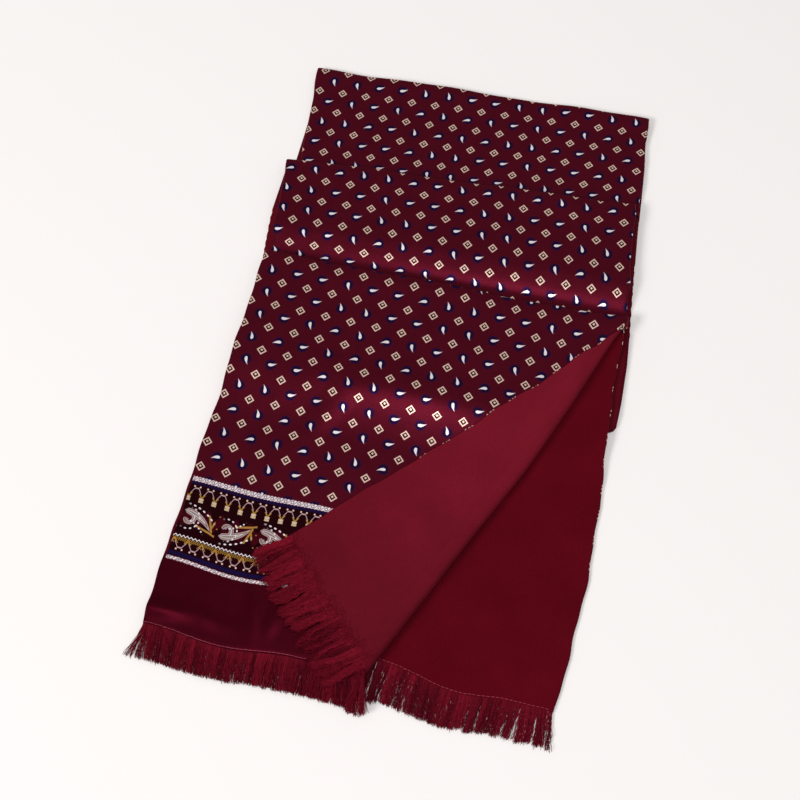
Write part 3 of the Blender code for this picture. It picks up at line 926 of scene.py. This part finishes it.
def make_panel(name, leaf, v_rows, inner, face, face_up, hem, material, repeats):
    """One panel of a leaf: the printed face or the back, with its rounded side edges and hem."""
    u, out, s = panel_columns(face, inner)
    v = np.broadcast_to(np.array(v_rows)[:, None], u.shape)
    if hem:
        near = np.clip((v[:, :1] - (v_rows[-1] - HEM_ROUND)) / HEM_ROUND, 0.0, 1.0)
        out = out * np.maximum(np.sqrt(1 - near**2), THINNEST_HEM)
    way = 1 if face_up else -1
    points = leaf(u, v) + print_side(leaf, u, v) * (out * way)[..., None]
    i0, iu, iv, j0, ju, jv = repeats
    maps = {
        "print": np.stack((i0 + iu * s + iv * v, j0 + ju * s + jv * v), -1).reshape(-1, 2),
        "cloth": np.stack((s, v), -1).reshape(-1, 2),
    }
    index = np.arange(u.size).reshape(u.shape)
    faces = np.stack((index[:-1, :-1], index[1:, :-1], index[1:, 1:], index[:-1, 1:]), -1).reshape(-1, 4)
    if face != face_up:
        faces = faces[:, ::-1]
    return add_mesh(name, points.reshape(-1, 3), faces, material, maps)


def leaf_rows(radius, length):
    """The v of each row, from the cloth beneath the fold, if there is one, to the hem."""
    rows = list(np.linspace(0.0, length - HEM_ROUND, int(length / CELL)))
    rows += [length - HEM_ROUND * (1 - t) for t in (0.35, 0.65, 0.85, 0.95, 1.0)]
    if not radius:
        return rows
    half_turn = math.pi * radius
    under = -half_turn - RUN_UNDER
    fold = [-half_turn * (FOLD_STEPS - k) / FOLD_STEPS for k in range(FOLD_STEPS)]
    return [under, (under - half_turn) / 2] + fold + rows


def plain_inner(rows):
    across = np.linspace(EDGE, WIDTH - EDGE, int(WIDTH / CELL))
    return np.broadcast_to(across, (len(rows), len(across)))


def front_inner(rows):
    """Columns that follow the turned corner's crease, close together round its roll."""
    crease = crease_at(np.array(rows))[:, None]
    to_crease, to_roll, to_edge = (np.linspace(0.0, 1.0, count) for count in FRONT_COLUMNS)
    flat = EDGE + (crease - EDGE) * to_crease
    room = WIDTH - EDGE - crease
    roll = np.minimum((math.pi + CORNER_DESCENT) * ROLL_RADIUS[1], room * ROLL_SHARE) * to_roll[1:]
    rest = roll[:, -1:] + (room - roll[:, -1:]) * to_edge[1:] ** 1.25
    return np.hstack((flat, crease + roll, crease + rest))


def make_leaves(satin, back, sheen_back):
    """Both panels of each leaf. The turned corner's back is the back's cloth painted lighter, a painted
    sheen for its nap, which lies the other way.
    """
    leaves = (
        # name, form, fold radius, length, face up, hem, where the print lies
        ("rear_leaf", WORN_REAR, REAR_FOLD, REAR_LENGTH, True, False, REAR_PRINT),
        ("middle_leaf", WORN_MIDDLE, MIDDLE_FOLD, MIDDLE_LENGTH, True, False, MIDDLE_PRINT),
        ("front_leaf", WORN_FRONT, FRONT_FOLD, FRONT_LENGTH, True, True, FRONT_PRINT),
        ("end_leaf", WORN_END, 0.0, END_LENGTH, False, True, FRONT_PRINT),
    )
    made = {}
    for name, leaf, radius, length, face_up, hem, repeats in leaves:
        rows = leaf_rows(radius, length)
        inner = front_inner(rows) if leaf is WORN_FRONT else plain_inner(rows)
        # the front leaf's back, with its turned corner, gets the painted sheen
        nap = sheen_back if leaf is WORN_FRONT else back
        for panel, face, material in (("face", True, satin), ("back", False, nap)):
            label = f"{name}_{'print' if face else 'nap'}"
            piece = make_panel(label, leaf, rows, inner, face, face_up, hem, material, repeats)
            made[f"{name}_{panel}"] = (piece, length - rows[0])
    return made


# The hidden layers: a row for each section, rear to front, by the leaf that lies on it
#    left x, y        right x, y
UNDER_REAR = (
    (1, -12.9, 304.6, -20.5),
    (1.4, -60, 306.2, -62),
    (-2, -116.4, 306.4, -116),
)
UNDER_MIDDLE = (
    (-7.6, -116.8, 305.8, -116.4),
    (-8.6, -213.2, 307.4, -230.8),
)
UNDER_END = (
    (-8, -213.6, 307.4, -231.2),
    (-10, -250, 307.2, -258),
    (-13, -290, 305.4, -292),
    (-14, -304, 304.6, -306),
    (-14.4, -313, 303.4, -315),
    (-14, -316.5, 300.8, -318.5),
    (-13, -319, 296, -321),
    (-11, -320.4, 289, -322.3),
)
LAYERS = 3
LAYER_INSETS = ((0.0, 0.3), (1.3, 0.9), (0.5, 2.0))  # left and right of each layer, from the floor up
LAYER_GAP = 0.12
LAYER_ROUND = 1.2
LAYER_WAVE = 0.35
LAYER_STEPS = (7, 12)  # round an end, and across
STEP_SECTIONS = 24  # of the layers that follow the middle leaf's step


def hidden_sections():
    """Each section of the hidden layers, rear to front, and the height of what lies on it."""

    def under_rear(x, y):
        return np.full_like(x, HIDDEN_BED)

    def under_middle(x, y):
        return middle_base(x, y) - OUTER_SIDE - REST_GAP

    def under_end(x, y):
        return front_base(x, y) - 2 * LEAF - 2 * REST_GAP + OUTER_SIDE

    step = []
    for v in np.linspace(MIDDLE_STEP[0] - 8, MIDDLE_LENGTH - 1, STEP_SECTIONS):
        left_x, left_y, right_x, right_y = rows_at(MIDDLE_LEAF, v)
        out = 3.2 + 3.0 * ease(v, 0.0, 90.0)
        step.append((left_x - out, left_y, right_x + 4.6, right_y))
    middle = (UNDER_MIDDLE[0], *step, UNDER_MIDDLE[1])
    stretches = ((UNDER_REAR, under_rear), (middle, under_middle), (UNDER_END, under_end))
    return [(row, top) for rows, top in stretches for row in rows]


def layer_section(k, layer, row, top):
    """The ring of points round one section of a hidden layer, with round ends."""
    end_steps, across_steps = LAYER_STEPS
    turn = np.linspace(-math.pi / 2, math.pi / 2, end_steps)
    across = np.linspace(0.0, 1.0, across_steps)[1:-1]
    left_in, right_in = LAYER_INSETS[layer]
    left, right = np.array(row[:2]), np.array(row[2:])
    along = (right - left) / np.linalg.norm(right - left)
    wave = LAYER_WAVE * math.sin(1.9 * k + 2.0 * layer)
    left, right = left + along * (left_in + wave), right - along * (right_in - wave)
    ring = [(right - along * LAYER_ROUND * (1 - math.cos(a)), math.sin(a)) for a in turn]
    ring += [(right + (left - right) * t, 1.0) for t in across]
    ring += [(left + along * LAYER_ROUND * (1 - math.cos(a)), math.sin(a)) for a in -turn]
    ring += [(left + (right - left) * t, -1.0) for t in across]
    places = np.array([place for place, _ in ring])
    side = np.array([height for _, height in ring])
    full = top(places[:, 0], places[:, 1])
    low, high = full * (layer / LAYERS), full * ((layer + 1) / LAYERS) - LAYER_GAP
    return np.column_stack((places, (low + high) / 2 + side * (high - low) / 2))


def make_hidden_layers(material):
    """The layers that nothing shows, as thin slabs that stand for one solid."""
    sections = hidden_sections()
    for layer in range(LAYERS):
        points = np.array([layer_section(k, layer, *section) for k, section in enumerate(sections)])
        count, size = points.shape[:2]
        index = np.arange(count * size).reshape(count, size)
        after = np.roll(index, -1, axis=1)
        faces = [np.stack((index[:-1], after[:-1], after[1:], index[1:]), -1).reshape(-1, 4)]
        for ring, way in ((index[0], -1), (index[-1], 1)):
            cap = [(ring[k], ring[k + 1], ring[-k - 2], ring[-k - 1]) for k in range(size // 2 - 1)]
            faces.append(np.array(cap)[:, ::way])
        flat = points.reshape(-1, 3)
        maps = {"cloth": flat[:, :2]}
        piece = add_mesh(f"hidden_layer_{layer + 1}", flat, np.vstack(faces), material, maps)
        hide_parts("hidden_layers")


# Fringe
FRINGE = 27.5
THREAD = 0.23  # radius
THREAD_TIP = 0.17
STATIONS = 11
LONGER_REACH = 40.0  # across
END_SHOWS = 125.0  # from here to its right edge the end leaf shows
HAIRS = 900
HAIR = 0.12  # radius
HAIR_ROWS = (-15.0, 5.0)  # from the corner's hem
STITCH = 0.26  # radius
STITCH_PITCH = 3.4
STITCH_INSIDE = 1.2  # from the hem
# Stretches of the end fringe with fewer threads: from, to, and the share that is left
THIN = (
    (152, 163, 0.8),
    (168, 178, 0.7),
    (190, 204, 0.75),
    (226, 231, 0.7),
    (262, 282, 0.8),
    (299, 303, 0.6),
)


def tubes(centres, radii):
    """Three-sided tubes along rows of points."""
    count, stations = centres.shape[:2]
    along = np.gradient(centres, axis=1)
    along /= np.linalg.norm(along, axis=-1, keepdims=True)
    aside = np.cross(along, (0.0, 0.0, 1.0))
    aside /= np.linalg.norm(aside, axis=-1, keepdims=True) + 1e-9
    above = np.cross(aside, along)
    rings = []
    for k in range(3):
        angle = 2 * math.pi * k / 3 + math.pi / 2
        rings.append(centres + (aside * math.cos(angle) + above * math.sin(angle)) * radii[..., None])
    points = np.stack(rings, 2)
    index = np.arange(count * stations * 3).reshape(count, stations, 3)
    a, b = index[:, :-1], index[:, 1:]
    after = [1, 2, 0]
    quads = np.stack((a, a[..., after], b[..., after], b), -1).reshape(-1, 4)
    return points.reshape(-1, 3), quads


def add_threads(name, centres, radii, tones, thread):
    """One mesh of threads, each with its own tone."""
    points, faces = tubes(centres, radii)
    share = np.broadcast_to(np.linspace(0.0, 1.0, radii.shape[1]), radii.shape)
    strand = np.stack((np.broadcast_to(tones, radii.shape), share), -1)
    maps = {"strand": np.repeat(strand.reshape(-1, 2), 3, axis=0)}
    piece = add_mesh(name, points, faces, thread, maps)
    return piece


def fringe_threads(leaf, hem, roots, style, seed):
    """Loose threads from a hem, in tufts: their points, radii and tones. style holds their habits."""
    rng = np.random.default_rng(seed)
    count = len(roots)
    t = np.linspace(0.0, 1.0, STATIONS)[None, :]
    roots = roots[:, None]
    tuft = np.floor(roots / style["tuft"] + 0.3 * np.sin(roots / 3.1)).astype(int)
    tufts = int(WIDTH / style["tuft"]) + 4

    def of_tuft(spread):
        return rng.normal(0.0, 1.0, tufts)[tuft] * spread

    def of_thread(spread):
        return rng.normal(0.0, spread, (count, 1))

    def between(low, high):
        return rng.uniform(low, high, (count, 1))

    longer = np.exp(-(((roots - style["longer_at"]) / LONGER_REACH) ** 2))
    length = style["length"] + style["longer"] * longer
    length = FRINGE * (length + of_tuft(style["uneven"]) + of_thread(style["uneven"]))
    centre = (tuft + 0.5) * style["tuft"]
    pull = (centre - roots) * style["pull"] * t**1.5
    lean = style["lean"](roots) + of_tuft(style["tuft_lean"]) + of_thread(style["stray"])
    phase = between(0.0, 2 * math.pi)
    turns = between(0.75, 1.25) * style["waves"]
    swing = 2 * math.pi * turns * t + phase
    twist = style["twist"] * np.sin(2 * math.pi * (1.1 * t) + of_tuft(2.0)) * t
    u = roots + pull + lean * t**1.5 + style["crimp"] * np.sin(swing) * t**0.6 + twist
    v = hem - style["inside"] * between(0.3, 1.0) + length * t
    v = v + 0.4 * style["crimp"] * np.cos(swing)
    points = leaf(u, v)
    points[..., 0] += (style["aside"] + of_thread(0.5 * abs(style["aside"]))) * t**1.4
    lifted = style["rise"] * (between(0.0, 1.0) + 0.3 * np.sin(swing))
    lifted = lifted + abs(of_tuft(style["tuft_rise"]))
    points[..., 2] += style["start"] + lifted * np.sin(math.pi * t * 0.62) - style["sink"] * t**1.5
    points[..., 2] = np.maximum(points[..., 2], THREAD + 0.05)
    radii = (THREAD + (THREAD_TIP - THREAD) * t**2) * between(0.8, 1.2)
    return points, radii, np.clip(style["tone"] + of_thread(0.32) + of_tuft(0.14), 0.0, 1.0)


def spread(start, end, pitch, seed, thin=()):
    """Places across a hem, about a pitch apart, with fewer over the thin stretches."""
    rng = np.random.default_rng(seed)
    places = np.arange(start, end, pitch)
    places = places + rng.uniform(-0.45, 0.45, len(places)) * pitch
    keep = np.ones(len(places), bool)
    for low, high, share in thin:
        inside = (places > low) & (places < high)
        keep &= ~inside | (rng.uniform(0.0, 1.0, len(places)) < share)
    return np.clip(places[keep], 0.3, WIDTH - 0.3)


def side_spray(u):
    """How far the threads at the scarf's left edge splay out."""
    return -12.0 * np.exp(-u / 1.5) - 1.6 * np.exp(-u / 14.0)


def right_spray(u):
    return 3.5 * np.exp(-(WIDTH - u) / 1.2) + 1.0 * np.sin(u / 9.0)


def corner_spray(u):
    """The corner's threads fan out towards its tip."""
    return 7.0 * np.exp(-(WIDTH - u) / 16.0) + 1.5 * np.sin(u / 7.0)


# The threads' habits, in millimetres, but shares for pull, length, longer, uneven and tone
STRAIGHT = dict(tuft=3.1, pull=0.22, lean=np.zeros_like, tuft_lean=0.7, stray=0.8, waves=2.2, crimp=0.34)
STRAIGHT.update(twist=0.25, rise=0.9, tuft_rise=0.25, inside=0.8, start=0.0, aside=0.0, tone=0.4)
STRAIGHT.update(length=1.0, longer=0.0, longer_at=0.0, uneven=0.03)
CRIMPED = dict(STRAIGHT, tuft=4.6, pull=0.38, tuft_lean=2.4, stray=1.3, waves=4.2, crimp=0.95)
CRIMPED.update(twist=1.5, rise=0.8, tuft_rise=1.0)
FRONT_STYLE = dict(STRAIGHT, lean=side_spray, pull=0.1, tuft_lean=0.9, stray=1.5, waves=2.8, crimp=0.5)
FRONT_STYLE.update(sink=2.75, length=0.95, longer=-0.1, longer_at=68.0, uneven=0.022)
ROLL_STYLE = dict(CRIMPED, sink=4.0, length=1.08, aside=3.0, tone=0.5)
# The corner's threads are a lighter tone of the same yarn: painted light, to match the turned corner's
# painted sheen
CORNER_STYLE = dict(CRIMPED, lean=corner_spray, sink=0.3, inside=7.0, length=1.16, tone=0.55)
CORNER_STYLE.update(start=OUTER_SIDE)
END_STYLE = dict(STRAIGHT, lean=right_spray, tuft=4.2, pull=0.18, tuft_lean=1.4, stray=1.5, waves=3.4)
END_STYLE.update(crimp=0.7, rise=0.6, sink=0.4, longer=0.25, longer_at=150.0)


def corner_hair(crease):
    """Short hairs brushed back over the corner beside its hem."""
    rng = np.random.default_rng(8)
    t = np.linspace(0.0, 1.0, STATIONS)[None, :]
    low, high = HAIR_ROWS
    root_u = rng.uniform(crease + 10.0, WIDTH - 0.5, (HAIRS, 1))
    root_v = FRONT_LENGTH + low + (high - low) * np.sqrt(rng.uniform(0.0, 1.0, (HAIRS, 1)))
    way = rng.normal(0.0, 0.5, (HAIRS, 1))
    bend = rng.normal(0.0, 0.9, (HAIRS, 1))
    long = rng.uniform(3.5, 8.5, (HAIRS, 1))
    turn = way + bend * t
    u = np.clip(root_u + long * t * np.sin(turn), crease + 8.0, WIDTH - 0.2)
    points = WORN_FRONT(u, root_v + long * t * np.cos(turn))
    points[..., 2] += OUTER_SIDE + 0.15 + 0.7 * np.sin(math.pi * t) * rng.uniform(0.3, 1.0, (HAIRS, 1))
    return points, np.full((HAIRS, STATIONS), HAIR), rng.uniform(0.6, 1.0, (HAIRS, 1))


def make_fringes(thread):
    """The threads of each hem: the front one's with those round the roll, the corner's, and the end's."""
    crease = float(crease_at(FRONT_LENGTH))
    plain = spread(0.4, crease - 0.5, 0.085, 1)
    round_roll = spread(crease - 6.0, crease + 10.0, 0.07, 6)
    turned_over = spread(crease + 8.0, WIDTH - 0.4, 0.085, 2)
    hidden = spread(0.6, END_SHOWS, 1.4, 5)
    shown = spread(END_SHOWS, WIDTH - 0.4, 0.088, 3, THIN)
    front = fringe_threads(WORN_FRONT, FRONT_LENGTH, plain, FRONT_STYLE, 1)
    roll = fringe_threads(WORN_FRONT, FRONT_LENGTH, round_roll, ROLL_STYLE, 6)
    corner = fringe_threads(WORN_CORNER, FRONT_LENGTH, turned_over, CORNER_STYLE, 2)
    end = fringe_threads(WORN_END, END_LENGTH, np.concatenate((hidden, shown)), END_STYLE, 3)
    groups = {
        "front_fringe": (front, roll),
        "corner_fringe": (corner, corner_hair(crease)),
        "end_fringe": (end,),
    }
    made = {}
    for node, group in groups.items():
        centres, radii, tones = (np.vstack(values) for values in zip(*group))
        made[node] = add_threads(f"{node}_threads", centres, radii, tones, thread)
        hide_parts(node)
    return made


def make_stitches(name, leaf, hem, start, end, side, long, thread):
    """A line of stitches beside a hem, on the leaf's print side or, where side is -1, on its back."""
    starts = np.arange(start, end - STITCH_PITCH, STITCH_PITCH)[:, None]
    t = np.linspace(0.0, 1.0, 6)[None, :]
    swell = np.sin(math.pi * t)
    rng = np.random.default_rng(len(name))
    u = starts + long * t
    v = hem - STITCH_INSIDE + rng.normal(0.0, 0.1, starts.shape) + 0 * t
    arch = OUTER_SIDE * 0.95 + 0.3 * swell
    points = leaf(u, v) + print_side(leaf, u, v) * (arch * side)[..., None]
    radii = STITCH * (0.6 + 0.4 * swell) * np.ones(starts.shape)
    return add_threads(name, points, radii, rng.uniform(0.3, 1.0, starts.shape), thread)


# Plain colours, and each thread's dark and light one
BACK = (0.092, 0.0018, 0.0068)
# The turned corner's back: the back's cloth painted lighter, a painted sheen for its nap that lies the other
# way
SHEEN_BACK_COLOUR = (0.152, 0.0066, 0.0170)
# the share of painted shade on the turned corner's back at its hem
TURNED_HEM_SHADE = 0.26
INNER = (0.085, 0.003, 0.0085)
FRINGE_COLOURS = ((0.045, 0.0008, 0.0035), (0.235, 0.0070, 0.022))
STITCH_COLOURS = ((0.32, 0.040, 0.07), (0.46, 0.085, 0.13))
FLOOR_COLOUR = (0.93, 0.905, 0.895, 1.0)


def make_scarf():
    """Every piece of the scarf, with the part's pieces that they stand in for hidden."""
    back = make_brushed("brushed_back", BACK)
    # the turned corner's back: a lighter copy of the back, painted sheen, with painted shade towards its hem
    sheen_back = make_brushed("brushed_back_painted_sheen", SHEEN_BACK_COLOUR, TURNED_HEM_SHADE)
    thread = make_thread("fringe_thread", *FRINGE_COLOURS)
    stitch = make_thread("hem_stitch", *STITCH_COLOURS)
    panels = make_leaves(make_satin(), back, sheen_back)
    make_hidden_layers(make_brushed("inner_layers", INNER))
    fringes = make_fringes(thread)
    crease = float(crease_at(FRONT_LENGTH))
    hems = (
        # leaf's node, name, and the stitches' form, hem, start, end, side and length
        ("front_leaf_face", "front", (WORN_FRONT, FRONT_LENGTH, 1.0, crease - 1.0, 1, 3.3)),
        ("front_leaf_back", "corner", (WORN_FRONT, FRONT_LENGTH, crease + 9.0, WIDTH - 60.0, -1, 2.6)),
        ("end_leaf_back", "end", (WORN_END, END_LENGTH, END_SHOWS, WIDTH - 1.0, 1, 2.6)),
    )
    for node, name, line in hems:
        stitches = make_stitches(f"{name}_hem_stitches", *line, stitch)
    for node, (piece, length) in panels.items():
        leaf = node.split("_")[0]
        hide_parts(node)
        length * MM
        "laid" if leaf == "end" else "folded"


def make_floor():
    made, _, _ = new_material("pale_floor", Base_Color=FLOOR_COLOUR, Roughness=0.9, Specular_IOR_Level=0.1)
    bpy.ops.mesh.primitive_plane_add(size=6.0, location=(0, 0, -0.0002))
    floor = bpy.context.object
    floor.name = "floor"
    floor.data.materials.append(made)


WORLD_COLOUR = (1.0, 0.985, 0.98, 1.0)
WORLD_STRENGTH = 0.36
LIGHT_DISTANCE = 5.0
LIGHTS = (
    # name, azimuth (0 in front, 90 at the right), elevation, size in metres, watts, colour
    ("side", 310.0, 33.0, 1.5, 140.0, (1.0, 0.98, 0.97)),
    ("overhead", 20.0, 82.0, 1.6, 93.0, (1.0, 0.99, 0.99)),
)


def add_light(name, azimuth, elevation, size, power, colour):
    """An area light that faces the scarf."""
    turn, rise = math.radians(azimuth), math.radians(elevation)
    way = Vector((math.sin(turn) * math.cos(rise), -math.cos(turn) * math.cos(rise), math.sin(rise)))
    data = bpy.data.lights.new(name, "AREA")
    data.shape = "DISK"
    data.size = size
    data.energy = power
    data.color = colour
    made = bpy.data.objects.new(name, data)
    made.location = way * LIGHT_DISTANCE
    made.rotation_euler = way.to_track_quat("Z", "Y").to_euler()
    bpy.context.scene.collection.objects.link(made)


def make_light():
    world = bpy.data.worlds.new("studio")
    bpy.context.scene.world = world
    world.use_nodes = True
    background = world.node_tree.nodes["Background"]
    background.inputs["Color"].default_value = WORLD_COLOUR
    background.inputs["Strength"].default_value = WORLD_STRENGTH
    for light in LIGHTS:
        add_light(*light)
    bpy.context.scene.view_settings.view_transform = "Standard"


# The camera: its place in the scarf's frame, and the way it looks
CAMERA = (187.65, -753.56, 952.86)
CAMERA_RIGHT = (0.98760, 0.15677, 0.00866)
CAMERA_UP = (-0.14594, 0.89625, 0.41886)
FOCAL_LENGTH = 57.99  # for a sensor 36 mm wide


def make_camera():
    right, up = Vector(CAMERA_RIGHT), Vector(CAMERA_UP)
    data = bpy.data.cameras.new("camera")
    data.sensor_width = 36.0
    data.lens = FOCAL_LENGTH
    data.clip_end = 20.0
    made = bpy.data.objects.new("camera", data)
    turn = Matrix((right, up, right.cross(up))).transposed().to_4x4()
    made.matrix_world = Matrix.Translation(Vector((np.array(CAMERA) + PLACE) * MM)) @ turn
    bpy.context.scene.collection.objects.link(made)
    bpy.context.scene.camera = made


make_camera()
make_light()
make_floor()
make_scarf()
